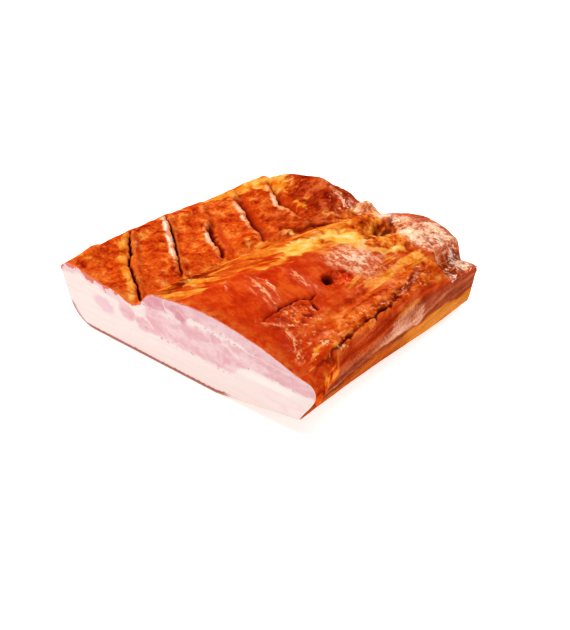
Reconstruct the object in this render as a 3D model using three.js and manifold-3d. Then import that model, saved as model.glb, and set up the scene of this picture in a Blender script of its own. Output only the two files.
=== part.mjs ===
// A slab of smoked, cooked pork belly, lying on its rind with the rib side up and one fresh cut.
// Millimetres, +Z up. X runs along the cut, and Y runs from the cut to the far end. The slab is
// shaped on the driving lines below, and settled with its bottom centre on the origin at the end.
import * as THREE from 'three';
import { mergeVertices } from 'three/addons/utils/BufferGeometryUtils.js';
import Module from 'manifold-3d';

const { smoothstep, lerp } = THREE.MathUtils;

// Driving dimensions of the slab
const width = 230;
const depth = 215;
const thickness = 44;
const halfWidth = width / 2;
const frontY = -depth / 2;
const backY = depth / 2;

// The rib side: a thin half with rib strips at the left, and a lean flank that swells at the right
const leftRim = { x: -104, radius: 12, drop: 5 };
const leftRimRise = { atCut: 2, behindCut: 5.5, reach: 22, atBack: 0, backFrom: -85 };
const hollow = { x: -58, halfWidth: 25, drop: 4.5 };
const flank = { xAtCut: 25, x: 45, behindCut: 85, halfWidth: 62, rise: 13, riseAtBack: 8, backFrom: 30 };
const seam = { xAtCut: -24, drift: 46, driftFrom: -90, driftTo: 110, rise: 4, halfWidth: 10 };
const valley = { fromSeam: 13, halfWidth: 14, drop: 10, dropAtBack: 3, backFrom: -20, backTo: 50 };
const curl = { x: 107, y: -86, radiusX: 7, radiusY: 13, rise: 2.5 };
const rightRim = { x: 101, halfWidth: 10, rise: 3.5, behindCut: 45, cornerX: 70, cornerDrop: 5 };
const shoulder = { x: 94, reach: 14, y: 0, reachY: 40, drop: 6 };
const undulation = { height: 0.9, lengthX: 17, lengthY: 21, shiftX: 1.3, shiftY: 0.4 };

// The far end: a lobe at the left, a dip with a knuckle, a knob, and a low ledge at the right
const lobe = { x: -52, y: 96, radiusX: 41, radiusY: 30, rise: 17 };
const dip = { x: 11, halfWidth: 19, drop: 13, from: 72 };
const knuckle = { x: 7, y: 96, radiusX: 9, radiusY: 9, rise: 14 };
const knob = { x: 66, y: 88, radiusX: 33, radiusY: 26, rise: 8 };
const fold = { x: 42, y: 64, radiusX: 11, radiusY: 12, drop: 9 };
const ledge = { x: 88, reach: 7, y: 46, reachY: 12, height: 40.5 };
const farEnd = { recess: 20, recessX: 30, cornerRecess: 20, cornerX: -70, round: 9, roundDrop: 7, bulge: 5 };

// The rind side: flat in the middle, rolled up at the left and lifted at the right
const rind = { footX: -80, kneeX: -109, kneeHeight: 20, tuck: 6, tuckFrom: 80 };
const rindLift = { x: 34, power: 1.1, height: 12, heightAtBack: 7, backFrom: -50, backTo: 50 };
const rightSide = { footX: 104, topX: 106, waistHeight: 20, belly: 5, bellyHeight: 35 };
const cutFlare = { top: 4, waist: 2, belly: 10, reach: 32 };
const backFlare = { top: 3, belly: -9, from: 20, to: 80 };

// Rib slits fan across the thin half. Each lies on a whole rib number, between two x places.
const ribs = { firstY: -85, midX: -60, slope: 0.79, pitch: 38.4, fan: 0.062 };
const strip = { pillow: 2, lip: 3.5, fall: 0.22, fadeFrom: 20, fadeTo: 3 };
const stripEnds = { atCut: 0.3, reach: 25, atRim: 0.25, rimReach: 24 };
const slits = [
  { from: -119, to: -34, mouth: 3.2 },
  { from: -106, to: -39, mouth: 3.6 },
  { from: -80, to: -33, mouth: 6 },
  { from: -95, to: -23, mouth: 8 },
  { from: -88, to: -18, mouth: 8 },
];
const slitCut = { depth: 9, endDepth: 1.5, nearWall: 1.4, above: 8, stations: 10 };

// Openings in the flank: a hook hole, torn cracks, and the crease inside the right rim
const hookHole = { x: 61, y: -18, radiusX: 8, radiusY: 13, radiusZ: 10, turn: -0.15, tilt: 0.3 };
const tearCut = { depth: 4, mouth: 1.6, endShare: 0.3, nearWall: 0.8, above: 6, stations: 12 };
const tears = [
  [[60, -89], [58, -72], [60, -58], [64, -48], [64, -43]],
  [[65, -50], [72, -53], [76, -55]],
  [[107, -94], [104, -71], [102.5, -50], [102.5, -26], [103, -5], [102, 20]],
];

// Lattice lines across, up and along the slab
const lines = { across: 54, up: 8, along: 50, crowding: 0.35 };
const flatness = 0.04;

const bump = (d) => Math.exp(-d * d);

// The line of the fat seam across the rib side, which drifts to the right towards the far end
function seamX(y) {
  return seam.xAtCut + seam.drift * smoothstep(y, seam.driftFrom, seam.driftTo);
}

// Rib number of a place: a whole number on each slit, and a fraction on the strip behind it
function ribNumber(x, y) {
  const run = x - ribs.midX;
  return (y - ribs.firstY + ribs.slope * run) / (ribs.pitch + ribs.fan * run);
}

function slitY(number, x) {
  const run = x - ribs.midX;
  return ribs.firstY + ribs.pitch * number + (ribs.fan * number - ribs.slope) * run;
}

// Each rib strip starts low behind its slit, swells in its middle and rises to a lip at the next slit.
// The strips flatten towards the cut and the left rim.
function stripRelief(x, y) {
  const onStrips = 1 - smoothstep(x, seamX(y) - strip.fadeFrom, seamX(y) - strip.fadeTo);
  const number = ribNumber(x, y);
  const part = number - Math.floor(number);
  const lip = part ** 3 + 1 - smoothstep(part, 0, strip.fall);
  const fromCut = lerp(stripEnds.atCut, 1, smoothstep(y, frontY, frontY + stripEnds.reach));
  const fromRim = lerp(stripEnds.atRim, 1, smoothstep(x, -halfWidth, -halfWidth + stripEnds.rimReach));
  return onStrips * fromCut * fromRim * (strip.pillow * Math.sin(Math.PI * part) + strip.lip * lip);
}

function flankRise(x, y) {
  const centre = lerp(flank.xAtCut, flank.x, smoothstep(y, frontY, frontY + flank.behindCut));
  const rise = lerp(flank.rise, flank.riseAtBack, smoothstep(y, flank.backFrom, backY));
  return rise * bump((x - centre) / flank.halfWidth);
}

function leftRimRelief(x, y) {
  const { atCut, behindCut, reach, atBack, backFrom } = leftRimRise;
  const front = lerp(atCut, behindCut, smoothstep(y, frontY, frontY + reach));
  const rise = lerp(front, atBack, smoothstep(y, backFrom, backY));
  const past = Math.max(0, (leftRim.x - x) / leftRim.radius);
  return rise * bump((x - leftRim.x) / leftRim.radius) - leftRim.drop * past ** 2;
}

// The right rim stands up behind the cut, and slopes off at both ends
function rightRimRelief(x, y) {
  const behindCut = smoothstep(y, frontY, frontY + rightRim.behindCut);
  const rise = rightRim.rise * bump((x - rightRim.x) / rightRim.halfWidth) * behindCut;
  const corner = rightRim.cornerDrop * smoothstep(x, rightRim.cornerX, halfWidth) * (1 - behindCut);
  const onShoulder = smoothstep(x, shoulder.x, shoulder.x + shoulder.reach)
    * smoothstep(y, shoulder.y, shoulder.y + shoulder.reachY);
  return rise - corner - shoulder.drop * onShoulder;
}

// The seam stands up beside a valley, where the strips end
function seamRelief(x, y) {
  const ridge = seam.rise * bump((x - seamX(y)) / seam.halfWidth);
  const drop = lerp(valley.drop, valley.dropAtBack, smoothstep(y, valley.backFrom, valley.backTo));
  const fall = drop * bump((x - seamX(y) + valley.fromSeam) / valley.halfWidth);
  return ridge - fall - hollow.drop * bump((x - hollow.x) / hollow.halfWidth);
}

// Swellings and the fold at the far end, and the rim that curls up at the front corner
function localRelief(x, y) {
  const swell = (part) => bump((x - part.x) / part.radiusX) * bump((y - part.y) / part.radiusY);
  const seamDip = dip.drop * bump((x - dip.x) / dip.halfWidth) * smoothstep(y, dip.from, backY);
  const rises = [lobe, knuckle, knob, curl].reduce((sum, part) => sum + part.rise * swell(part), 0);
  return rises - fold.drop * swell(fold) - seamDip;
}

function waves(x, y) {
  const alongX = Math.sin(x / undulation.lengthX + undulation.shiftX);
  const alongY = Math.cos(y / undulation.lengthY + undulation.shiftY);
  return undulation.height * alongX * alongY;
}

// Height of the rib side over a place in plan
function topHeight(x, y) {
  const intoRound = Math.min(1, Math.max(0, 1 + (y - farEndY(x)) / farEnd.round));
  const endRound = farEnd.roundDrop * (1 - Math.sqrt(1 - intoRound ** 2));
  const height = thickness + flankRise(x, y) + leftRimRelief(x, y) + rightRimRelief(x, y)
    + seamRelief(x, y) + stripRelief(x, y) + localRelief(x, y) + waves(x, y);
  const ledgeX = smoothstep(x, ledge.x, ledge.x + ledge.reach);
  const ledgeY = smoothstep(y, ledge.y, ledge.y + ledge.reachY);
  return lerp(height, ledge.height, ledgeX * ledgeY) - endRound;
}

function underside(x, y) {
  const towardsBack = smoothstep(y, rindLift.backFrom, rindLift.backTo);
  const share = Math.max(0, (x - rindLift.x) / (rightSide.footX - rindLift.x));
  return lerp(rindLift.height, rindLift.heightAtBack, towardsBack) * share ** rindLift.power;
}

// The far end in plan: square at the left and middle, falling back towards both corners
function farEndY(x) {
  const right = farEnd.recess * smoothstep(x, farEnd.recessX, halfWidth);
  const left = farEnd.cornerRecess * (1 - smoothstep(x, -halfWidth, farEnd.cornerX));
  return backY - right - left;
}

function bezier(...points) {
  return new THREE.CubicBezierCurve(...points.map((point) => new THREE.Vector2(...point)));
}

// The four edges of the section at a share of the way from the cut to the far end
function sectionEdges(along) {
  const y = lerp(frontY, backY, along);
  const placeY = (x) => lerp(frontY, farEndY(x), along);
  const top = (x) => topHeight(x, placeY(x));
  const under = (x) => underside(x, placeY(x));
  const tuck = rind.tuck * smoothstep(y, rind.tuckFrom, backY);
  const flare = 1 - smoothstep(y, frontY, frontY + cutFlare.reach);
  const kneeX = rind.kneeX + tuck;
  const leftX = -halfWidth + tuck;
  const lean = smoothstep(y, backFlare.from, backFlare.to);
  const rightX = rightSide.topX + cutFlare.top * flare + backFlare.top * lean;
  const waistX = rightSide.footX + cutFlare.waist * flare;
  const bellyX = rightX + rightSide.belly + cutFlare.belly * flare + backFlare.belly * lean;
  return {
    placeY, top, under, leftX, rightX,
    left: bezier([rind.footX, 0], [kneeX, 0], [kneeX, rind.kneeHeight], [leftX, top(leftX)]),
    right: bezier([rightSide.footX, under(rightSide.footX)], [waistX, rightSide.waistHeight],
      [bellyX, rightSide.bellyHeight], [rightX, top(rightX)]),
  };
}

// A place in the slab, from shares across, up and along: the four edges of the section, blended
function slabPoint(across, up, edges, along) {
  const lowX = lerp(rind.footX, rightSide.footX, across);
  const highX = lerp(edges.leftX, edges.rightX, across);
  const low = new THREE.Vector2(lowX, edges.under(lowX));
  const high = new THREE.Vector2(highX, edges.top(highX));
  const left = edges.left.getPoint(up);
  const right = edges.right.getPoint(up);
  const blend = (axis) => {
    const bottom = lerp(edges.left.v0[axis], edges.right.v0[axis], across);
    const top = lerp(edges.left.v3[axis], edges.right.v3[axis], across);
    return lerp(low[axis], high[axis], up) + lerp(left[axis], right[axis], across) - lerp(bottom, top, up);
  };
  const x = blend('x');
  const bulge = farEnd.bulge * Math.sin(Math.PI * up) * along ** 12;
  return new THREE.Vector3(x, edges.placeY(x) + bulge, blend('y'));
}

// Shares from 0 to 1 that crowd a little towards both ends, where the slab's edges turn
function shares(count) {
  return Array.from({ length: count + 1 }, (_, i) => {
    const even = i / count;
    return lerp(even, 0.5 - 0.5 * Math.cos(Math.PI * even), lines.crowding);
  });
}

function geometryOf(positions, triangles) {
  const geometry = new THREE.BufferGeometry();
  geometry.setAttribute('position', new THREE.BufferAttribute(new Float32Array(positions), 3));
  geometry.setIndex(triangles);
  return geometry;
}

// The outer skin of the lattice: six faces of squares that share their vertices along the edges
function slabGeometry() {
  const counts = [lines.across, lines.up, lines.along];
  const [across, up, along] = counts.map(shares);
  const edges = along.map(sectionEdges);
  const positions = [];
  const triangles = [];
  const known = new Map();
  const vertex = (place) => {
    const key = place.join();
    if (!known.has(key)) {
      const [i, j, k] = place;
      known.set(key, positions.length / 3);
      positions.push(...slabPoint(across[i], up[j], edges[k], along[k]));
    }
    return known.get(key);
  };
  for (let axis = 0; axis < 3; axis++) {
    const [first, second] = [(axis + 1) % 3, (axis + 2) % 3];
    for (const end of [0, counts[axis]]) {
      for (let a = 0; a < counts[first]; a++) {
        for (let b = 0; b < counts[second]; b++) {
          const at = (da, db) => {
            const place = [];
            place[axis] = end;
            place[first] = a + da;
            place[second] = b + db;
            return vertex(place);
          };
          const square = [at(0, 0), at(1, 0), at(1, 1), at(0, 1)];
          const [p, q, r, s] = end ? square.reverse() : square;
          triangles.push(p, q, r, p, r, s);
        }
      }
    }
  }
  return geometryOf(positions, triangles);
}

// A blade along a line in plan: a wedge that is steep on its near side and slopes on its far side
function bladeGeometry(path, cut, mouth, depthAt) {
  const ring = 4;
  const positions = [];
  const triangles = [];
  for (let i = 0; i <= cut.stations; i++) {
    const share = i / cut.stations;
    const place = path.getPoint(share);
    const heading = path.getTangent(share);
    const across = new THREE.Vector2(-heading.y, heading.x);
    const deep = depthAt(share);
    const slope = mouth / cut.depth;
    const surface = topHeight(place.x, place.y);
    const section = [
      [-cut.nearWall, cut.above], [-0.5 * cut.nearWall, -deep],
      [0, -deep], [slope * (deep + cut.above), cut.above],
    ];
    for (const [offset, rise] of section) {
      positions.push(place.x + across.x * offset, place.y + across.y * offset, surface + rise);
    }
  }
  for (let i = 0; i < cut.stations; i++) {
    for (let j = 0; j < ring; j++) {
      const [a, b] = [i * ring + j, i * ring + (j + 1) % ring];
      triangles.push(a, b, a + ring, b, b + ring, a + ring);
    }
  }
  const last = cut.stations * ring;
  triangles.push(0, 2, 1, 0, 3, 2, last, last + 1, last + 2, last, last + 2, last + 3);
  return geometryOf(positions, triangles);
}

function slitBlades() {
  return slits.map(({ from, to, mouth }, number) => {
    const ends = [from, to].map((x) => new THREE.Vector2(x, slitY(number, x)));
    const depthAt = (share) => lerp(slitCut.depth, slitCut.endDepth, Math.abs(2 * share - 1) ** 3);
    return bladeGeometry(new THREE.LineCurve(...ends), slitCut, mouth, depthAt);
  });
}

function tearBlades() {
  return tears.map((points) => {
    const path = new THREE.SplineCurve(points.map((point) => new THREE.Vector2(...point)));
    const depthAt = (share) => tearCut.depth * lerp(tearCut.endShare, 1, Math.sin(Math.PI * share));
    return bladeGeometry(path, tearCut, tearCut.mouth, depthAt);
  });
}

// The hook hole is deepest towards the cut, where the hook was drawn out
function hookHoleGeometry() {
  const { x, y, radiusX, radiusY, radiusZ, turn, tilt } = hookHole;
  return new THREE.SphereGeometry(1, 20, 14).scale(radiusX, radiusY, radiusZ).rotateX(tilt)
    .rotateZ(turn).translate(x, y, topHeight(x, y));
}

const wasm = await Module();
wasm.setup();

function solidOf(geometry) {
  geometry.deleteAttribute('normal');
  geometry.deleteAttribute('uv');
  const merged = mergeVertices(geometry, 1e-4);
  const mesh = new wasm.Mesh({
    numProp: 3,
    vertProperties: merged.attributes.position.array,
    triVerts: new Uint32Array(merged.index.array),
  });
  return new wasm.Manifold(mesh);
}

// Crossing blades can free a scrap, so only the slab itself is kept
function largestBody(solid) {
  return solid.decompose().reduce((best, body) => (body.volume() > best.volume() ? body : best));
}

// The finished surface, moved so that the bottom centre of its box is the origin
function settledGeometry(solid) {
  const { vertProperties, triVerts } = solid.getMesh();
  const geometry = geometryOf(vertProperties, Array.from(triVerts));
  geometry.computeBoundingBox();
  const { min, max } = geometry.boundingBox;
  geometry.translate(-(min.x + max.x) / 2, -(min.y + max.y) / 2, -min.z);
  geometry.computeVertexNormals();
  return geometry;
}

function porkBelly() {
  const smoked = new THREE.MeshStandardMaterial({ color: 0xd9480f, roughness: 0.35, metalness: 0 });
  const openings = [...slitBlades(), ...tearBlades(), hookHoleGeometry()];
  const slab = solidOf(slabGeometry());
  const cutSlab = openings.reduce((solid, opening) => solid.subtract(solidOf(opening)), slab);
  const mesh = new THREE.Mesh(settledGeometry(largestBody(cutSlab).simplify(flatness)), smoked);
  mesh.name = 'pork_belly';
  return mesh;
}

const part = new THREE.Group();
part.add(porkBelly());

export default part;
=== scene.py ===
import math
import bpy
import numpy as np
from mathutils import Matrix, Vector
from mathutils.geometry import delaunay_2d_cdt


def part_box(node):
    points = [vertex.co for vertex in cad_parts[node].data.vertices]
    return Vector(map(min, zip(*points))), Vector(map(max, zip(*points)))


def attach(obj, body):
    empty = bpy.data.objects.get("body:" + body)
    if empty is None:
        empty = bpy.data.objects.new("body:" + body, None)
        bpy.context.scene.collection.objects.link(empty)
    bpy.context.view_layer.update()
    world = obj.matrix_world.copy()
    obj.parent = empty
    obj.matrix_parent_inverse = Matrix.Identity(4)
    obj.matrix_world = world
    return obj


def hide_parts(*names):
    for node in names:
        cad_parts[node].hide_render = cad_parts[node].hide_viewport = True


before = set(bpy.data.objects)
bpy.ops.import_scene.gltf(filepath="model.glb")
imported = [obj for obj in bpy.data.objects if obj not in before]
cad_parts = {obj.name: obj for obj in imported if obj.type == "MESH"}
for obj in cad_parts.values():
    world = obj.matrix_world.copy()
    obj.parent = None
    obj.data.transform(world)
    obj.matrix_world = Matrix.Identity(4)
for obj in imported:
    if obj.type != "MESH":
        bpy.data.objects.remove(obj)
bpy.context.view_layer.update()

cadLow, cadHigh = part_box("pork_belly")
millimetre = 0.001
print("frame loaded", [round(side, 4) for side in cadHigh - cadLow])

# The slab's values in millimetres: x runs along the cut, y from the cut to the far end
belly = {
    "width": 230, "depth": 215, "thickness": 44,
    "lines": {"across": 256, "up": 26, "along": 246, "crowding": 0.25},
    "leftRim": {"x": -104, "radius": 12, "drop": 5, "atCut": 2, "behindCut": 5.5,
                "reach": 22, "atBack": 0, "backFrom": -85},
    "hollow": {"x": -58, "halfWidth": 25, "drop": 4.5},
    "flank": {"xAtCut": 25, "x": 45, "behindCut": 85, "halfWidth": 62, "rise": 13,
              "riseAtBack": 8, "backFrom": 30},
    "seam": {"xAtCut": -24, "drift": 46, "driftFrom": -90, "driftTo": 110, "rise": 4, "halfWidth": 10},
    "valley": {"fromSeam": 13, "halfWidth": 14, "drop": 10, "dropAtBack": 3, "backFrom": -20, "backTo": 50},
    "rightRim": {"x": 101, "halfWidth": 10, "rise": 3.5, "behindCut": 45, "cornerX": 70, "cornerDrop": 5},
    "shoulder": {"x": 94, "reach": 14, "y": 0, "reachY": 40, "drop": 6},
    "undulation": {"height": 0.9, "lengthX": 17, "lengthY": 21, "shiftX": 1.3, "shiftY": 0.4},
    "spots": {  # middle, and reach to each side in x and in y
        "lobe": (-52, 96, 41, 30), "knuckle": (7, 96, 9, 9), "knob": (66, 88, 33, 26),
        "fold": (42, 64, 11, 12), "curl": (107, -86, 7, 13), "pit": (54.5, -20, 3.2, 5.5),
        "raw": (71, -68, 12, 15), "haze": (56, 10, 25, 22), "seamStrand": (-18, -72, 10, 26),
        "frontShine": (96, -84, 13, 18), "backShine": (-10, 88, 11, 12),
    },
    "rises": {"lobe": 17, "knuckle": 14, "knob": 8, "curl": 2.5, "fold": -9},
    "dip": {"x": 11, "halfWidth": 19, "drop": 13, "from": 72},
    "foldWalls": [(29, 69, 29, 19, 1), (54, 43, 12, 10, 1.2), (67, 54, 9, 8, 1)],
    "foldRing": [(46, 26), (57, 28), (66, 36), (71, 46), (73, 53)],
    "ledge": {"x": 88, "reach": 7, "y": 46, "reachY": 12, "height": 40.5},
    "farEnd": {"recess": 20, "recessX": 30, "cornerRecess": 20, "cornerX": -70, "round": 9,
               "roundDrop": 7, "bulge": 5},
    "rind": {"footX": -80, "kneeX": -109, "kneeHeight": 20, "tuck": 6, "tuckFrom": 80},
    "rindLift": {"x": 34, "power": 1.1, "height": 12, "heightAtBack": 7, "backFrom": -50, "backTo": 50},
    "rightSide": {"footX": 104, "topX": 106, "waistHeight": 20, "belly": 5, "bellyHeight": 35},
    "cutFlare": {"top": 4, "waist": 2, "belly": 10, "reach": 32},
    "backFlare": {"top": 3, "belly": -9, "from": 20, "to": 80},
    "ribs": {"firstY": -85, "midX": -60, "slope": 0.79, "pitch": 38.4, "fan": 0.062},
    "strip": {"pillow": 2, "lip": 3.5, "fall": 0.22, "fadeFrom": 20, "fadeTo": 3},
    "stripEnds": {"atCut": 0.3, "reach": 25, "atRim": 0.25, "rimReach": 24},
    "slitValues": ("from", "to", "mouth", "wall", "slitShade", "bow", "pale", "amber"),
    "slits": [
        (-107, -34, 1.6, 2.4, 1, -4, 0.15, 2.2),
        (-106, -39, 1.6, 2.4, 1, 1.5, 1, 0.2),
        (-80, -33, 5.5, 10, 0.85, -1, 0.65, 0.3),
        (-95, -23, 9, 9.5, 0.7, 1, 0.55, 0.4),
        (-88, -18, 7, 8, 0.35, -3, 0.5, 0.5),
    ],
    "slitLips": {"pale": (-2.8, 2.3), "broad": (-3.8, 3.2), "far": (0.8, 1.3)},
    "hookHole": {"x": 61, "y": -17, "radiusX": 8.5, "radiusY": 12.5, "turn": -0.15},
    "tears": [
        [(60, -89), (58, -72), (60, -58), (64, -48), (64, -43)],
        [(65, -50), (72, -53), (76, -55)],
    ],
    "crease": [(109.5, -104), (107.5, -94), (105.5, -71), (104.5, -50), (104.5, -26), (104.5, -5), (103, 20)],
    "channel": [(104, -40), (102, -5), (99, 15), (92, 38), (88, 48)],
    "seamFolds": [
        [(-16, 20), (-11, 32), (-7, 47), (2, 57), (14, 61)],
        [(-12, -104), (-15, -84), (-18, -66), (-14, -40)],
    ],
    "lineWidths": {"tear": 1.5, "crease": 2, "ridge": 4, "crest": 0.9, "channel": 3.5, "seamFolds": 2.4,
                   "foldRing": 5.5},
    "fineRises": {"slit": -9, "tear": -3, "crease": -2.2, "dish": -5.5, "pit": -5, "crest": 0.5, "glow": 0.9,
                  "ridge": 0.9, "raw": -1.4, "lumps": 3.2, "channel": -1.6, "seamEdge": -2},
    "silverLines": [
        ([(17, -54), (38, -66), (55, -72)], 2.8),
        ([(21, -51), (40, -57), (56, -67)], 0.9),
        ([(31, -31), (50, -38), (64, -39)], 2.2),
        ([(67, -81), (77, -85), (91, -94), (97, -99)], 1.6),
        ([(60, -92), (70, -84), (78, -74)], 1.2),
        ([(7, -66), (13, -73), (20, -78)], 0.5),
    ],
    "ridgeLine": [(84, -90), (80, -66), (80, -44), (76, -20)],
    "sheen": [(27, 84, 10, 7, 0.8), (48, 82, 9, 6, 0.8), (63, 68, 11, 8, 1.1), (75, 61, 7, 6, 0.8),
              (78, 80, 13, 8, 0.8), (86, 68, 5, 7, 0.4), (8, 92, 9, 8, 1), (100, 76, 8, 8, 0.7)],
    "seamLobes": [(15, 3, 11, 18, 1), (33, 34, 19, 12, 1)],
    "fatPatches": [(-93.5, -67, 7, 9, 0.5), (-96, -48, 8, 7, 0.5), (-96, -95, 5, 6, 0.4),
                   (-101, 53, 9, 14, 1), (-90, 90, 13, 14, 1), (-75, 82, 15, 13, 1), (-36, 67, 9, 7, 0.7),
                   (-9, 68, 7, 6, 0.7), (9, 90, 12, 11, 1.4), (-10, -76, 9, 13, 0.8)],
    "ruddySpots": [(-24, 76, 9, 9, 1), (-50, 40, 14, 7, 0.6)],
    "grainSpots": [(90, 22, 6, 14, 0.9)],
    "fatLumps": [(-33, -1, 4.8), (-15.5, 24.5, 4.8)],
    "seamBand": [(-104, -27, 8), (-94, -32, 6), (-62, -38, 4), (-41, -36, 12), (-28, -32, 20), (-16, -29, 26),
                 (-9, -27, 30), (9, -22, 38), (16, -16, 48), (29, -8, 53), (45, -5, 43), (55, 4, 22)],
    "amberBand": {"x": 78, "drift": 7, "driftFrom": 25, "driftTo": 50, "halfWidth": 9},
    "rimFat": {"from": -113, "to": -103, "fromDrift": 13, "toDrift": 22},
    "zones": {"right": (66, 92, -100, -60), "knob": (36, 56, 52, 66), "ledge": (87, 92, 46, 56)},
    "underNet": {"x": (-72, 98), "y": (-100, 82), "pitch": 5.0},
    "raggedness": {  # amount, size and seed of each noise
        "tear": [(1.3, 9, 61), (0.9, 3.5, 62)], "creaseGaps": [(1, 14, 63), (0.5, 6, 64)],
        "channel": [(2, 8, 66)], "seamFolds": [(3, 7, 67)], "foldRing": [(2, 9, 68)],
        "hole": [(0.22, 6, 71), (0.16, 2.5, 72)], "wrinkle": [(1.4, 8, 81), (0.6, 3, 82)],
        "seam": [(3.5, 16, 83), (2, 6, 84)], "crumbs": [(3, 11, 85)], "amber": [(4, 15, 86)],
        "lumps": [(0.35, 6, 87)], "wrinkleGaps": [(1, 5, 88)], "crumbGaps": [(1, 9, 89), (0.5, 4, 90)],
        "side": [(1.6, 13, 101), (0.8, 5, 102)],
    },
}
halfWidth = belly["width"] / 2
frontY = -belly["depth"] / 2
backY = belly["depth"] / 2
slabShift = Vector((cadLow.x / millimetre + halfWidth, cadLow.y / millimetre - frontY, 0))


def smooth(value, low, high):
    share = np.clip((value - low) / (high - low), 0, 1)
    return share * share * (3 - 2 * share)


def lerp(first, second, share):
    return first + (second - first) * share


def plateau(value, low, full, fade, end):  # up from low to full, and down from fade to end
    return smooth(value, low, full) * (1 - smooth(value, fade, end))


def bump(distance):
    return np.exp(-distance * distance)


def swell(x, y, name):
    spotX, spotY, radiusX, radiusY = belly["spots"][name]
    return bump((x - spotX) / radiusX) * bump((y - spotY) / radiusY)


def swells(x, y, spots):  # several round spots, each with its own weight
    return sum(weight * bump((x - spotX) / radiusX) * bump((y - spotY) / radiusY)
               for spotX, spotY, radiusX, radiusY, weight in spots)


def grain(x, y, size, seed):  # smooth noise in plan, about -1 to 1
    angles = np.random.default_rng(seed).uniform(0, 2 * math.pi, (128, 128))
    u, v = x / size, y / size
    cellU, cellV = np.floor(u).astype(int), np.floor(v).astype(int)
    u, v = u - cellU, v - cellV
    total = np.zeros_like(u)
    for du in (0, 1):
        for dv in (0, 1):
            angle = angles[(cellU + du) % 128, (cellV + dv) % 128]
            slope = np.cos(angle) * (u - du) + np.sin(angle) * (v - dv)
            total += slope * np.abs(1 - du - smooth(u, 0, 1)) * np.abs(1 - dv - smooth(v, 0, 1))
    return 1.5 * total


def ragged(x, y, name):  # how far a line or an edge strays
    return sum(amount * grain(x, y, size, seed) for amount, size, seed in belly["raggedness"][name])


def seamX(y):  # the fat seam drifts to the right towards the far end
    seam = belly["seam"]
    return seam["xAtCut"] + seam["drift"] * smooth(y, seam["driftFrom"], seam["driftTo"])


def onStrips(x, y):
    strip = belly["strip"]
    return 1 - smooth(x, seamX(y) - strip["fadeFrom"], seamX(y) - strip["fadeTo"])


def stripRelief(x, y):
    ribs, strip, ends = belly["ribs"], belly["strip"], belly["stripEnds"]
    run = x - ribs["midX"]
    number = (y - ribs["firstY"] + ribs["slope"] * run) / (ribs["pitch"] + ribs["fan"] * run)
    part = number - np.floor(number)
    lip = part ** 3 + 1 - smooth(part, 0, strip["fall"])
    fromCut = lerp(ends["atCut"], 1, smooth(y, frontY, frontY + ends["reach"]))
    fromRim = lerp(ends["atRim"], 1, smooth(x, -halfWidth, -halfWidth + ends["rimReach"]))
    relief = strip["pillow"] * np.sin(math.pi * part) + strip["lip"] * lip
    return onStrips(x, y) * fromCut * fromRim * relief


def flankRise(x, y):
    flank = belly["flank"]
    centre = lerp(flank["xAtCut"], flank["x"], smooth(y, frontY, frontY + flank["behindCut"]))
    rise = lerp(flank["rise"], flank["riseAtBack"], smooth(y, flank["backFrom"], backY))
    return rise * bump((x - centre) / flank["halfWidth"])


def leftRimRelief(x, y):
    rim = belly["leftRim"]
    front = lerp(rim["atCut"], rim["behindCut"], smooth(y, frontY, frontY + rim["reach"]))
    rise = lerp(front, rim["atBack"], smooth(y, rim["backFrom"], backY))
    past = np.maximum(0, (rim["x"] - x) / rim["radius"])
    return rise * bump((x - rim["x"]) / rim["radius"]) - rim["drop"] * past ** 2


def rightRimRelief(x, y):
    rim, shoulder = belly["rightRim"], belly["shoulder"]
    behindCut = smooth(y, frontY, frontY + rim["behindCut"])
    rise = rim["rise"] * bump((x - rim["x"]) / rim["halfWidth"]) * behindCut
    corner = rim["cornerDrop"] * smooth(x, rim["cornerX"], halfWidth) * (1 - behindCut)
    onShoulder = smooth(x, shoulder["x"], shoulder["x"] + shoulder["reach"])
    onShoulder = onShoulder * smooth(y, shoulder["y"], shoulder["y"] + shoulder["reachY"])
    return rise - corner - shoulder["drop"] * onShoulder


def seamRelief(x, y):  # the seam stands up beside a valley, where the strips end
    seam, hollow, valley = belly["seam"], belly["hollow"], belly["valley"]
    ridge = seam["rise"] * bump((x - seamX(y)) / seam["halfWidth"])
    drop = lerp(valley["drop"], valley["dropAtBack"], smooth(y, valley["backFrom"], valley["backTo"]))
    fall = drop * bump((x - seamX(y) + valley["fromSeam"]) / valley["halfWidth"])
    return ridge - fall - hollow["drop"] * bump((x - hollow["x"]) / hollow["halfWidth"])


def localRelief(x, y):
    dip = belly["dip"]
    seamDip = dip["drop"] * bump((x - dip["x"]) / dip["halfWidth"]) * smooth(y, dip["from"], backY)
    return sum(rise * swell(x, y, name) for name, rise in belly["rises"].items()) - seamDip


def farEndY(x):
    end = belly["farEnd"]
    right = end["recess"] * smooth(x, end["recessX"], halfWidth)
    left = end["cornerRecess"] * (1 - smooth(x, -halfWidth, end["cornerX"]))
    return backY - right - left


def slitLip(across, name):  # a soft band beside a slit
    place, width = belly["slitLips"][name]
    return bump((across - place) / width)


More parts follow.
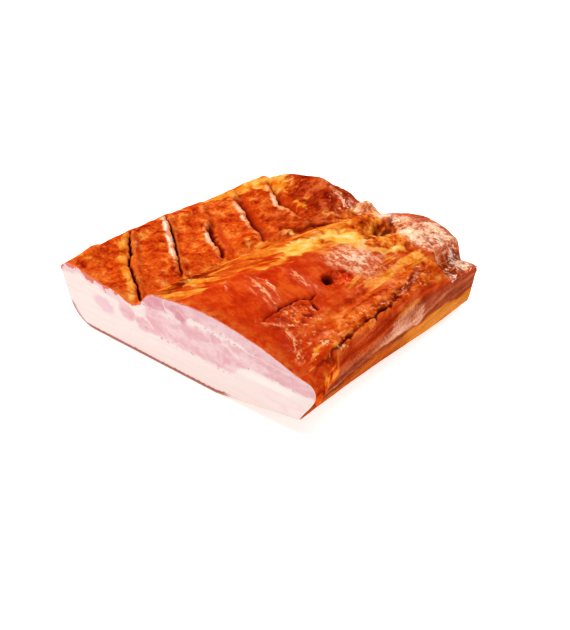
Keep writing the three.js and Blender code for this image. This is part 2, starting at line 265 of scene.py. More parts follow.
def slitFields(x, y):  # depth in a slit, the painted shade in it, the wall behind it, and the pale and fat lips beside it, the pale lips partly painted highlight
    ribs = belly["ribs"]
    names = ("depth", "slitShade", "recess", "pale", "amber")
    fields = {name: np.zeros_like(x) for name in names}
    for number, values in enumerate(belly["slits"]):
        slit = dict(zip(belly["slitValues"], values))
        slope = ribs["fan"] * number - ribs["slope"]
        lineY = ribs["firstY"] + ribs["pitch"] * number + slope * (x - ribs["midX"])
        across = (y - lineY) / math.hypot(1, slope)
        share = np.clip((x - slit["from"]) / (slit["to"] - slit["from"]), 0, 1)
        across = across - slit["bow"] * bump((share - 0.4) / 0.25)
        across = across + 1.6 * grain(x, y, 15, 20 + number) + 1.1 * grain(x, y, 5, 40 + number)
        inside = np.clip(1 - np.abs(2 * share - 1) ** 4, 0, 1)
        farWall = (1 - np.clip(across / slit["mouth"], 0, 1)) ** 1.2
        paleLip = inside * slitLip(across, "pale") * lerp(1.2, 0.5, smooth(share, 0.35, 0.75))
        broadLip = inside * slitLip(across, "broad") * lerp(1, 0.4, smooth(share, 0.4, 0.8))
        # the far lip: amber fat, partly a painted highlight along the top of the wall
        farLip = inside * slitLip(across - slit["wall"], "far") * smooth(slit["wall"], 4, 8)
        pastWall = smooth(across, slit["wall"] - 1.4, slit["wall"] + 1.4)
        depth = inside * smooth(across, -1.3, 0.2) * farWall
        made = {
            "depth": depth,
            "slitShade": slit["slitShade"] * depth,
            "recess": inside * smooth(across, 0, 1.5) * (1 - pastWall),
            "pale": slit["pale"] * paleLip,
            "amber": np.maximum(slit["amber"] * broadLip, 0.35 * farLip),
        }
        for name in names:
            fields[name] = np.maximum(fields[name], made[name])
    return fields


def lineDistance(x, y, points):  # distance to a line through points, and the share along it
    best = np.full_like(x, 1e6)
    along = np.zeros_like(x)
    count = len(points) - 1
    for index in range(count):
        (ax, ay), (bx, by) = points[index], points[index + 1]
        dx, dy = bx - ax, by - ay
        share = np.clip(((x - ax) * dx + (y - ay) * dy) / (dx * dx + dy * dy), 0, 1)
        distance = np.hypot(x - ax - share * dx, y - ay - share * dy)
        nearer = distance < best
        best = np.where(nearer, distance, best)
        along = np.where(nearer, (index + share) / count, along)
    return best, along


def tapered(along, end):  # fades at both ends of a line
    return np.sin(math.pi * np.clip(along, end, 1 - end)) ** 0.5


def lineBand(x, y, points, name, end):  # a soft band along a line
    distance, along = lineDistance(x + ragged(x, y, name), y, points)
    return bump(distance / belly["lineWidths"][name]) * tapered(along, end)


def tornLine(x, y, points, name):  # depth in a ragged crack, and the share along it
    wobble = ragged(x, y, "tear")
    distance, along = lineDistance(x + wobble, y - wobble, points)
    return 1 - smooth(distance, 0.1, belly["lineWidths"][name]), along


def tearField(x, y):
    depth = np.zeros_like(x)
    for points in belly["tears"]:
        crack, along = tornLine(x, y, points, "tear")
        depth = np.maximum(depth, crack * lerp(0.35, 1, np.sin(math.pi * along)))
    return depth


def creaseField(x, y):  # the broken line along the right rim
    crack, along = tornLine(x, y, belly["crease"], "crease")
    broken = smooth(ragged(x, y, "creaseGaps"), -0.45, 0.25)
    return crack * tapered(along, 0.03) * lerp(0.45, 1, broken) * lerp(0.6, 1, smooth(y, -84, -56))


def holeFields(x, y):  # the whole hook hole, and the pit at its left
    hole = belly["hookHole"]
    u, v = x - hole["x"], y - hole["y"]
    cosine, sine = math.cos(-hole["turn"]), math.sin(-hole["turn"])
    u, v = u * cosine - v * sine, u * sine + v * cosine
    rim = (u / hole["radiusX"]) ** 2 + (v / hole["radiusY"]) ** 2 + ragged(x, y, "hole")
    dish = np.clip(1 - rim, 0, 1) ** 0.7
    return dish, swell(x, y, "pit") * np.clip(dish * 3, 0, 1)


def silverFields(x, y):  # pale wrinkles on the lean flank, partly silverskin and partly painted sheen: their crests, and the glow beside them
    crest, glow = np.zeros_like(x), np.zeros_like(x)
    wobble = ragged(x, y, "wrinkle")
    broken = smooth(ragged(x, y, "wrinkleGaps"), -0.7, 0.1)
    for points, width in belly["silverLines"]:
        distance, along = lineDistance(x + wobble, y + wobble, points)
        ends = tapered(along, 0.06)
        crest = np.maximum(crest, bump(distance / belly["lineWidths"]["crest"]) * ends * broken)
        glow = np.maximum(glow, bump(distance / (2 * width)) * ends)
    return crest, glow


def seamBand(x, y):  # the broad fat seam, which opens to the right towards the far end
    places, lefts, rights = zip(*belly["seamBand"])
    left, right = np.interp(y, places, lefts), np.interp(y, places, rights)
    strayed = x + ragged(x, y, "seam")
    return plateau(strayed, left - 3, left + 6, right - 8, right + 6) * (1 - smooth(y, 44, 58))


def crumbBand(x, y):  # loose crumbs of fat beside the crease
    creaseX, creaseY = zip(*belly["crease"])
    fromCrease = x - np.interp(y, creaseY, creaseX) + ragged(x, y, "crumbs")
    broken = smooth(ragged(x, y, "crumbGaps"), -0.5, 0.2)
    return plateau(fromCrease, -15, -7, 0.5, 3) * broken * plateau(y, -94, -66, 38, 54)


def channelField(x, y):  # the dark, wet groove in which the crease ends
    return lineBand(x, y, belly["channel"], "channel", 0.04)


def seamEdge(x, y):  # the dark fold along the upper edge of the seam, darkened as painted shade
    bands = [lineBand(x, y, points, "seamFolds", 0.03) for points in belly["seamFolds"]]
    return np.max(bands, axis=0)


def ringField(x, y):  # the smooth fat around the front of the fold
    return lineBand(x, y, belly["foldRing"], "foldRing", 0.05)


def amberBand(x, y):  # the flat fat between the flank and the crumbs
    band = belly["amberBand"]
    middle = band["x"] + band["drift"] * smooth(y, band["driftFrom"], band["driftTo"])
    middle = middle + ragged(x, y, "amber")
    return bump((x - middle) / band["halfWidth"]) * plateau(y, -30, 0, 46, 58)


def lumpField(x, y):  # round lumps of fat where the slits end
    rise = np.zeros_like(x)
    for lumpX, lumpY, radius in belly["fatLumps"]:
        distance = np.hypot(x - lumpX, y - lumpY) / radius + ragged(x, y, "lumps")
        rise = np.maximum(rise, bump(distance))
    return rise


def fineForms(x, y):  # the slits, cracks, hollows and low ridges, each from 0 to 1
    dish, pit = holeFields(x, y)
    crest, glow = silverFields(x, y)
    ridge, along = lineDistance(x, y, belly["ridgeLine"])
    return {
        "slit": slitFields(x, y)["depth"], "tear": tearField(x, y), "crease": creaseField(x, y),
        "dish": dish, "pit": pit, "crest": crest, "glow": glow,
        "ridge": bump(ridge / belly["lineWidths"]["ridge"]) * np.sin(math.pi * along),
        "raw": swell(x, y, "raw"), "lumps": lumpField(x, y),
        "channel": channelField(x, y), "seamEdge": seamEdge(x, y),
    }


def topHeight(x, y):
    end, ledge, wave = belly["farEnd"], belly["ledge"], belly["undulation"]
    intoRound = np.clip(1 + (y - farEndY(x)) / end["round"], 0, 1)
    waves = np.sin(x / wave["lengthX"] + wave["shiftX"]) * np.cos(y / wave["lengthY"] + wave["shiftY"])
    height = belly["thickness"] + flankRise(x, y) + leftRimRelief(x, y) + rightRimRelief(x, y)
    height = height + seamRelief(x, y) + stripRelief(x, y) + localRelief(x, y) + wave["height"] * waves
    onLedge = smooth(x, ledge["x"], ledge["x"] + ledge["reach"])
    onLedge = onLedge * smooth(y, ledge["y"], ledge["y"] + ledge["reachY"])
    height = lerp(height, ledge["height"], onLedge)
    forms = fineForms(x, y)
    for name, rise in belly["fineRises"].items():
        height = height + rise * forms[name]
    return height - end["roundDrop"] * (1 - np.sqrt(1 - intoRound ** 2))


def underside(x, y):
    lift = belly["rindLift"]
    height = lerp(lift["height"], lift["heightAtBack"], smooth(y, lift["backFrom"], lift["backTo"]))
    share = np.maximum(0, (x - lift["x"]) / (belly["rightSide"]["footX"] - lift["x"]))
    return height * share ** lift["power"]


def curvePoint(points, share):  # a cubic curve in x and z
    weights = [(1 - share) ** 3, 3 * share * (1 - share) ** 2, 3 * share ** 2 * (1 - share), share ** 3]
    return [sum(weight * point[axis] for weight, point in zip(weights, points)) for axis in (0, 1)]


def slabPlaces(across, up, along):  # the four edges of the section, blended
    rind, right, flareSize, lean = belly["rind"], belly["rightSide"], belly["cutFlare"], belly["backFlare"]
    y = lerp(frontY, backY, along)
    tuck = rind["tuck"] * smooth(y, rind["tuckFrom"], backY)
    flare = 1 - smooth(y, frontY, frontY + flareSize["reach"])
    leaning = smooth(y, lean["from"], lean["to"])
    kneeX = rind["kneeX"] + tuck
    leftX = tuck - halfWidth
    rightX = right["topX"] + flareSize["top"] * flare + lean["top"] * leaning
    waistX = right["footX"] + flareSize["waist"] * flare
    bellyX = rightX + right["belly"] + flareSize["belly"] * flare + lean["belly"] * leaning
    placeY = lambda x: lerp(frontY, farEndY(x), along)
    top = lambda x: topHeight(x, placeY(x))
    footX = right["footX"] + 0 * y
    lowX, highX = lerp(rind["footX"], right["footX"], across), lerp(leftX, rightX, across)
    low = (lowX, underside(lowX, placeY(lowX)))
    high = (highX, top(highX))
    leftPoints = [(rind["footX"], 0 * y), (kneeX, 0 * y), (kneeX, rind["kneeHeight"]), (leftX, top(leftX))]
    rightPoints = [(footX, underside(footX, placeY(footX))), (waistX, right["waistHeight"]),
                   (bellyX, right["bellyHeight"]), (rightX, top(rightX))]
    left, rightEdge = curvePoint(leftPoints, up), curvePoint(rightPoints, up)
    place = []
    for axis in (0, 1):
        bottomEnds = lerp(leftPoints[0][axis], rightPoints[0][axis], across)
        topEnds = lerp(leftPoints[3][axis], rightPoints[3][axis], across)
        sides = lerp(left[axis], rightEdge[axis], across) - lerp(bottomEnds, topEnds, up)
        place.append(lerp(low[axis], high[axis], up) + sides)
    x, z = place
    bulge = belly["farEnd"]["bulge"] * np.sin(math.pi * up) * along ** 12
    return np.stack([x, placeY(x) + bulge, z], axis=1), high[1]


def crowdedShares(count):
    even = np.arange(count + 1) / count
    return lerp(even, 0.5 - 0.5 * np.cos(math.pi * even), belly["lines"]["crowding"])


def facesOf(grid, flipped=False):
    corners = [grid[:-1, :-1], grid[1:, :-1], grid[1:, 1:], grid[:-1, 1:]]
    faces = np.stack([corner.ravel() for corner in corners], axis=1)
    return faces[:, ::-1] if flipped else faces


def undersideMesh(places, border, firstIndex):  # a coarse net inside the border of the rind
    net = belly["underNet"]
    columns, rows = [np.arange(*net[axis], net["pitch"]) for axis in ("x", "y")]
    inner = np.stack(np.meshgrid(columns, rows), axis=2).reshape(-1, 2)
    outline = [Vector(place[:2]) for place in places[border]]
    links = [(index, (index + 1) % len(border)) for index in range(len(border))]
    points = outline + [Vector(place) for place in inner]
    made = delaunay_2d_cdt(points, links, [], 1, 1e-6)
    indexOf = [ids[0] for ids in made[3]]
    known = np.concatenate([border, firstIndex + np.arange(len(inner))])
    faces = [[int(known[indexOf[corner]]) for corner in reversed(face)] for face in made[2]]
    heights = underside(inner[:, 0], inner[:, 1])
    return np.column_stack([inner, heights]), faces


def slabMesh():
    counts = [belly["lines"][name] for name in ("across", "up", "along")]
    shares = [crowdedShares(count) for count in counts]
    shell = np.zeros([count + 1 for count in counts], bool)
    shell[:, -1, :] = True
    shell[[0, -1]] = True
    shell[:, :, [0, -1]] = True
    ids = np.full(shell.shape, -1)
    ids[shell] = np.arange(shell.sum())
    i, j, k = np.nonzero(shell)
    across, up, along = shares[0][i], shares[1][j], shares[2][k]
    places, topAbove = slabPlaces(across, up, along)
    sides = {
        "top": facesOf(ids[:, -1, :]),
        "cut": facesOf(ids[:, :, 0]),
        "farEnd": facesOf(ids[:, :, -1], flipped=True),
        "left": facesOf(ids[0]),
        "right": facesOf(ids[-1], flipped=True),
    }
    border = np.concatenate([ids[:, 0, 0], ids[-1, 0, 1:], ids[-2::-1, 0, -1], ids[0, 0, -2:0:-1]])
    inner, underFaces = undersideMesh(places, border, len(places))
    quads = np.concatenate(list(sides.values()))
    finish = [np.full(len(faces), name == "cut", int) for name, faces in sides.items()]
    mesh = bpy.data.meshes.new("pork_belly_skin")
    allPlaces = np.concatenate([places, inner])
    settled = (allPlaces + np.array(slabShift)) * millimetre
    mesh.from_pydata(settled.tolist(), [], quads.tolist() + underFaces)
    mesh.polygons.foreach_set("use_smooth", np.ones(len(mesh.polygons), bool))
    finishes = np.concatenate([*finish, np.full(len(underFaces), 2)])
    mesh.attributes.new("finish", "INT", "FACE").data.foreach_set("value", finishes.astype(np.int32))

    def withInner(values, filler):
        return np.concatenate([values, np.full(len(inner), float(filler))])

    topAll = withInner(topAbove, belly["thickness"])
    storeFields(mesh, allPlaces, withInner(across, 0.5), withInner(up, 0), topAll)
    return mesh


sideBands = {  # places along the right side with heights above its lower edge
    "footTop": [(-107, 2.5), (-75, 3.5), (-45, 8), (-7, 10), (12, 12), (43, 13.5), (80, 9)],
    "brownTop": [(-107, 12), (-75, 20), (-40, 20), (-10, 26), (20, 32), (60, 30), (85, 26)],
    "wedgeTop": [(-40, 14), (-27, 20), (-12, 29), (5, 33), (18, 32), (30, 24)],
    "wedgeFrom": 14, "flapEnd": -77,
}


def sideFields(y, height):  # the right side: fat foot, brown meat, pale wedge (partly painted sheen) and front flap
    strayed = ragged(y, 2 * height, "side")
    level = height + strayed
    names = ("footTop", "brownTop", "wedgeTop")
    footTop, brownTop, wedgeTop = [np.interp(y, *zip(*sideBands[name])) for name in names]
    wedgeFrom = sideBands["wedgeFrom"]
    foot = 1 - smooth(level, footTop - 0.8, footTop + 0.8)
    glowLevel = footTop + 3 + 3 * smooth(y, -80, -20)
    pastFlap = y + 0.8 * strayed - sideBands["flapEnd"]
    return {
        "foot": foot,
        "amberFoot": foot * smooth(y, -20, 15),
        "footLine": bump((level - footTop - 0.6) / 0.9) * (1 - smooth(y, 0, 20)),
        "footGlow": bump((level - glowLevel) / 1.3) * (1 - smooth(y, -22, -2)),
        "brown": 1 - smooth(level, brownTop - 5, brownTop + 4),
        "wedgeRim": bump((level - wedgeTop - 1) / 3) * plateau(y, -25, -8, 10, 24),
        "wedge": plateau(level, wedgeFrom - 2, wedgeFrom + 2, wedgeTop - 4, wedgeTop + 2)
        * plateau(y, -42, -18, 12, 28),
        "flap": (1 - smooth(pastFlap, -1, 2)) * smooth(level, 11, 16),
        "flapEdge": bump(pastFlap / 2.2) * smooth(level, 12, 18),
    }


def storeFields(mesh, places, across, up, topAbove):  # masks that steer relief and colour
    x, y, z = places.T
    onTop = smooth(up, 0.7, 1)
    onSide = 1 - smooth(up, 0.8, 1)
    behindCut = smooth(y, frontY, frontY + 4)
    height = z - underside(np.clip(x, belly["rind"]["footX"], belly["rightSide"]["footX"]), y)
    strips, seam, foldRing = onStrips(x, y), seamBand(x, y), ringField(x, y)
    slit, form, side = slitFields(x, y), fineForms(x, y), sideFields(y, height)
    single = ("lobe", "fold", "haze", "frontShine", "backShine", "seamStrand")
    several = ("sheen", "seamLobes", "fatPatches", "ruddySpots", "grainSpots", "foldWalls")
    spot = {name: swell(x, y, name) for name in single}
    spot.update({name: swells(x, y, belly[name]) for name in several})
    zone = {name: smooth(x, *limits[:2]) * smooth(y, *limits[2:]) for name, limits in belly["zones"].items()}
    rim, towardsBack = belly["rimFat"], smooth(y, 10, 90)
    fatFrom, fatTo = rim["from"] + rim["fromDrift"] * towardsBack, rim["to"] + rim["toDrift"] * towardsBack
    rimFat = (1 - smooth(x, fatFrom, fatTo)) * smooth(y, -90, 40)
    crumbs = np.maximum(crumbBand(x, y), spot["grainSpots"])
    foldWall = np.clip(spot["foldWalls"], 0, 1) * (1 - 0.7 * foldRing)
    knob = zone["knob"] * (1 - 0.8 * foldWall)
    ledge = zone["ledge"] * (1 - smooth(z, 43, 46))
    lobes = np.clip(1.3 * seam * spot["seamLobes"] + 0.8 * foldRing, 0, 1)
    darkBack = 0.85 * strips * smooth(y + 0.8 * x, -25, 45) + spot["ruddySpots"]
    plain = (1 - 0.85 * slit["recess"]) * (1 - 0.7 * slit["pale"]) * (1 - seam) * smooth(x, -116, -98)
    haze = spot["haze"] * (1 - np.clip(2 * form["dish"], 0, 1))
    cracks = np.maximum(0.65 * form["tear"], 0.7 * form["crease"])
    rough = 0.6 * form["raw"] + 0.15 * zone["right"] + 0.5 * crumbs + form["channel"]
    dabs = ledge + 0.28 * spot["frontShine"] + 0.4 * form["raw"] + 0.3 * crumbs + 0.7 * spot["backShine"]
    wet = 0.15 * strips * (1 - slit["amber"]) + 0.12 * slit["pale"] + 0.5 * form["raw"] + 0.2 * zone["right"]
    wet = wet + 0.3 * haze + 0.5 * (spot["frontShine"] + ledge + form["channel"]) + spot["backShine"]
    raisedFields = {  # where the relief tree raises each of its patterns
        "lump": strips * plain * (1 - 0.6 * spot["lobe"]) * (1 - form["lumps"]),
        "soft": 1 - strips,
        "rough": rough + 0.7 * spot["frontShine"],
        "crumb": crumbs + form["channel"] + swells(x, y, belly["foldWalls"][1:]),
        "crag": 0.75 * knob + 0.8 * foldWall,
        "lobed": lobes,
        "strand": foldWall,
        "streak": seam * (1 - lobes),
    }
    topFields = {  # where each colour of the crust lies
        "strips": strips,
        "darkBack": darkBack,
        "raw": form["raw"],
        "recess": slit["recess"],
        # painted shade down in the slits, tears, crease and the hook hole's pit
        "hollowShade": np.maximum(slit["slitShade"], cracks) + form["pit"],
        "pale": slit["pale"] * strips,
        "hole": smooth(form["dish"], 0.04, 0.22),
        "holeRim": bump((form["dish"] - 0.2) / 0.1) * smooth(y + 0.3 * x, -4, 8),
        "seamFat": seam * lerp(0.62, 1, smooth(y, -50, 10)),
        "seamEdge": form["seamEdge"],
        "seamStrand": spot["seamStrand"],
        "lobes": lobes + 0.8 * form["lumps"],
        "rimFat": rimFat + spot["fatPatches"] + 0.9 * slit["amber"],
        "rightZone": zone["right"],
        "amber": amberBand(x, y) + 0.4 * spot["frontShine"],
        "crumbFat": crumbs,
        "channel": form["channel"],
        "foldWall": foldWall,
        "fold": spot["fold"],
        "knob": knob + ledge,
        "ledge": ledge,
        "dabs": dabs + 0.5 * form["dish"] * (1 - form["pit"]),
        "crest": form["crest"],
        "glow": form["glow"],
        "haze": haze,
        "wet": wet,
        "gloss": 0.03 * knob + 0.6 * spot["sheen"],
        "nearCut": 1 - smooth(y, frontY, frontY + 12),
    }
    fields = {
        "layered": behindCut * (1 - onTop),
        "proud": onSide * behindCut * (1.8 * side["flap"] + 0.7 * side["wedge"] - side["footLine"]),
        "sheen": onTop * spot["sheen"],
        "side": onSide,
        "height": height,
        "rindSide": (1 - smooth(across, 0, 0.02)) * (1 - onTop),
        "crustGap": topAbove - z,
        **side,
    }
    fields.update({name: onTop * behindCut * np.clip(values, 0, 1) for name, values in raisedFields.items()})
    fields.update({name: onTop * np.clip(values, 0, 1) for name, values in topFields.items()})
    for name, values in fields.items():
        mesh.attributes.new(name, "FLOAT", "POINT").data.foreach_set("value", values.astype(np.float32))


def connect(tree, node, values):  # links sockets and sets plain values
    for key, value in values.items():
        if isinstance(value, bpy.types.NodeSocket):
            tree.links.new(value, node.inputs[key])
        else:
            node.inputs[key].default_value = value


def addNode(tree, kind, values=None, **settings):
    node = tree.nodes.new(kind)
    for name, value in settings.items():
        setattr(node, name, value)
    connect(tree, node, values or {})
    return node


def calc(tree, operation, *values):
    return addNode(tree, "ShaderNodeMath", dict(enumerate(values)), operation=operation).outputs[0]


def arithmetic(tree):  # plus, minus, times, larger and smaller in one tree
    def joined(operation):
        return lambda first, second: calc(tree, operation, first, second)

    return [joined(name) for name in ("ADD", "SUBTRACT", "MULTIPLY", "MAXIMUM", "MINIMUM")]


def span(tree, value, low, high, toLow=0.0, toHigh=1.0):
    values = {"Value": value, "From Min": low, "From Max": high, "To Min": toLow, "To Max": toHigh}
    return addNode(tree, "ShaderNodeMapRange", values, interpolation_type="SMOOTHSTEP").outputs["Result"]


def noise(tree, place, size, detail=3.0, roughness=0.5, distortion=0.0):
    values = {"Vector": place, "Scale": 1 / size, "Detail": detail, "Roughness": roughness,
              "Distortion": distortion}
    return addNode(tree, "ShaderNodeTexNoise", values).outputs[0]


def drawnOut(tree, place, angle, stretch, *values):  # a noise turned in plan and drawn out
    turned = addNode(tree, "ShaderNodeMapping", {"Vector": place, "Rotation": (0, 0, math.radians(angle))})
    stretched = addNode(tree, "ShaderNodeMapping", {"Vector": turned.outputs[0], "Scale": stretch})
    return noise(tree, stretched.outputs[0], *values)


def patternSet(tree, place, finish):  # the noises of a finish by name
    made = {name: noise(tree, place, *values) for name, values in finish["patterns"].items()}
    made.update({name: drawnOut(tree, place, *values) for name, values in finish["drawnOut"].items()})
    return made


def tint(red, green, blue):  # screen colour to linear light
    linear = [c / 12.92 if c <= 0.04045 else ((c + 0.055) / 1.055) ** 2.4
              for c in (red / 255, green / 255, blue / 255)]
    return (*linear, 1.0)


def mixTint(tree, share, first, second):
    return addNode(tree, "ShaderNodeMix", {0: share, 6: first, 7: second}, data_type="RGBA").outputs[2]


def tintRamp(tree, value, stops):
    node = addNode(tree, "ShaderNodeValToRGB", {0: value})
    elements = node.color_ramp.elements
    while len(elements) < len(stops):
        elements.new(0.5)
    for element, (position, colour) in zip(elements, stops):
        element.position = position
        element.color = tint(*colour)
    return node.outputs["Color"]


def field(tree, name):
    return addNode(tree, "ShaderNodeAttribute", attribute_name=name).outputs["Fac"]


def slabPlace(tree):  # the slab's own millimetres
    coordinates = addNode(tree, "ShaderNodeTexCoord").outputs["Object"]
    scale = 1 / millimetre
    values = {"Vector": coordinates, "Scale": (scale, scale, scale), "Location": tuple(-slabShift)}
    return addNode(tree, "ShaderNodeMapping", values).outputs[0]


def bumpNormal(tree, height, strength, distance):
    values = {"Strength": strength, "Distance": distance, "Height": height}
    return addNode(tree, "ShaderNodeBump", values).outputs[0]


def newFinish(name):
    material = bpy.data.materials.new(name)
    material.use_nodes = True
    return material, material.node_tree, material.node_tree.nodes["Principled BSDF"]


crust = {
    "stripTints": [(0.38, (160, 30, 5)), (0.45, (206, 60, 10)), (0.52, (226, 86, 16)), (0.58, (242, 120, 34)),
                   (0.66, (252, 166, 78))],
    "flankTints": [(0.4, (186, 38, 7)), (0.5, (208, 56, 12)), (0.6, (229, 88, 24))],
    "backTints": [(0.4, (122, 18, 3)), (0.5, (172, 44, 7)), (0.58, (210, 80, 20))],
    "rawTints": [(0.4, (132, 18, 3)), (0.5, (204, 54, 10)), (0.6, (238, 104, 34))],
    "zoneTints": [(0.39, (142, 28, 4)), (0.46, (204, 62, 10)), (0.54, (228, 94, 20)), (0.62, (248, 148, 58))],
    "seamTints": [(0.36, (128, 34, 6)), (0.43, (206, 76, 12)), (0.51, (232, 112, 25)), (0.59, (244, 150, 50)),
                  (0.7, (253, 190, 92))],
    "lobeTints": [(0.28, (228, 104, 16)), (0.4, (249, 156, 42)), (0.51, (255, 194, 84)),
                  (0.66, (255, 230, 160))],
    "fatTints": [(0.38, (216, 86, 10)), (0.5, (248, 144, 36)), (0.62, (255, 192, 94))],
    "crumbTints": [(0.3, (110, 26, 4)), (0.43, (196, 60, 9)), (0.52, (228, 92, 18)), (0.62, (244, 138, 48)),
                   (0.75, (250, 178, 84))],
    "channelTints": [(0.34, (92, 16, 3)), (0.48, (150, 36, 7)), (0.6, (214, 84, 20)), (0.75, (244, 140, 56))],
    "foldTints": [(0.36, (122, 28, 6)), (0.46, (202, 74, 15)), (0.54, (238, 120, 30)),
                  (0.64, (253, 178, 78))],
    "knobTints": [(0.38, (112, 20, 6)), (0.47, (188, 66, 24)), (0.56, (226, 116, 62)),
                  (0.64, (244, 176, 136))],
    "ledgeTints": [(0.4, (116, 24, 5)), (0.5, (184, 60, 17)), (0.58, (228, 112, 46))],
    "holeTints": [(0.36, (186, 26, 6)), (0.5, (226, 54, 12)), (0.62, (252, 120, 52))],
    "redTints": [(0.36, (124, 26, 5)), (0.5, (172, 48, 11)), (0.62, (210, 82, 26))],
    "brownTints": [(0.36, (112, 40, 21)), (0.5, (168, 74, 44)), (0.64, (210, 120, 78))],
    "paleWedgeAndSheenTints": [(0.36, (166, 80, 48)), (0.48, (208, 128, 94)), (0.6, (238, 186, 158))],
    "footTints": [(0.36, (148, 50, 12)), (0.5, (196, 86, 26)), (0.62, (218, 114, 44))],
    "amberTints": [(0.36, (194, 94, 22)), (0.5, (224, 132, 48)), (0.62, (240, 164, 78))],
    "sheenTints": [(0.38, (190, 64, 20)), (0.44, (232, 136, 80)), (0.51, (246, 192, 154)),
                   (0.6, (253, 230, 210))],
    "silverskinAndSheenTints": [(0.1, (230, 96, 34)), (0.4, (243, 156, 98)), (0.8, (255, 222, 192))],
    "hazySheenTints": [(0.1, (222, 96, 40)), (0.4, (234, 150, 102)), (0.85, (250, 212, 178))],
    "paleLipAndHighlightTints": [(0.1, (240, 122, 46)), (0.35, (250, 184, 128)), (0.65, (255, 240, 228))],
    "glintTints": [(0.1, (240, 122, 50)), (0.4, (251, 190, 140)), (0.7, (255, 242, 228))],
    "rindTints": [(0.38, (128, 48, 16)), (0.48, (170, 76, 28)), (0.6, (206, 118, 54))],
    "hollowShadeTint": (52, 5, 2), "shadeRedTint": (120, 18, 5), "recessTint": (204, 58, 8), "edgeOrangeAndHighlight": (236, 116, 42),
    "glowTint": (226, 150, 92), "sideDark": (104, 30, 9), "seamStreakAndShade": (134, 28, 4), "foldShade": (74, 17, 4),
    "roughness": 0.55, "coatRoughness": 0.2, "skinBump": 0.35, "dropletBump": 0.8, "bumpDistance": 0.0011,
    "patterns": {  # size in millimetres, detail, roughness and distortion
        "mottle": (7, 3, 0.5, 0.6), "fine": (2.2, 3, 0.5, 0.3), "grit": (1.6, 2, 0.6), "broad": (30, 3, 0.5),
        "patch": (14, 3, 0.5, 0.5), "beads": (3.2, 2, 0.5, 0.8), "damp": (3.5, 3, 0.6),
        "pores": (0.9, 2, 0.5), "pimples": (2.4, 3, 0.55), "drops": (1.6, 2, 0.5), "puddles": (3.2, 3, 0.55),
    },
    "drawnOut": {  # angle in plan and stretch, then the same
        "streaks": (-62, (0.3, 1, 1), 8, 3, 0.45, 1), "strands": (-130, (0.22, 1, 1), 5, 3, 0.5, 0.6),
        "hairs": (22, (0.2, 1, 1), 2.4, 4, 0.6), "lengthwise": (0, (1, 0.15, 1), 6, 4, 0.55, 0.6),
        "crags": (-30, (0.3, 1, 1), 5, 3, 0.5, 0.6),
    },
    "sideTilt": -8, "layers": (0, (1, 0.14, 1), 6, 4, 0.5, 0.5),
    "mixes": {  # shares of the patterns; a cavity share paints shade in hollows and highlight on rises
        "flank": {"broad": 0.25, "patch": 0.38, "hairs": 0.22, "fine": 0.15},
        "spotted": {"mottle": 0.42, "patch": 0.33, "fine": 0.25},
        "ruddy": {"mottle": 0.75, "fine": 0.25},
        "zone": {"lengthwise": 0.5, "patch": 0.35, "fine": 0.15},
        "seam": {"streaks": 0.6, "mottle": 0.3, "fine": 0.1},
        "amber": {"lengthwise": 0.3, "mottle": 0.3, "grit": 0.4},
        "fat": {"patch": 0.5, "mottle": 0.35, "fine": 0.15},
        "knob": {"crags": 0.45, "mottle": 0.3, "fine": 0.25, "cavity": 0.12},
        "ledge": {"mottle": 0.4, "fine": 0.6},
        "crumb": {"cavity": 0.12, "fine": 0.45, "mottle": 0.55},
        "fold": {"strands": 0.55, "mottle": 0.45, "cavity": 0.12},
        "lobe": {"cavity": 0.1, "patch": 0.65, "mottle": 0.3, "fine": 0.06},
        "haze": {"hairs": 0.35, "mottle": 0.4, "grit": 0.25},
        "side": {"layers": 0.55, "patch": 0.2, "grit": 0.25},
        "rind": {"lengthwise": 0.3, "patch": 0.4, "fine": 0.3},
        "hole": {"mottle": 0.65, "grit": 0.35},
        "dabs": {"crags": 0.3, "mottle": 0.3, "fine": 0.4},
        "wet": {"damp": 0.6, "patch": 0.4},
        "skin": {"pores": 0.35, "pimples": 1.4},
        "droplets": {"drops": 0.6, "puddles": 1.4},
    },
}


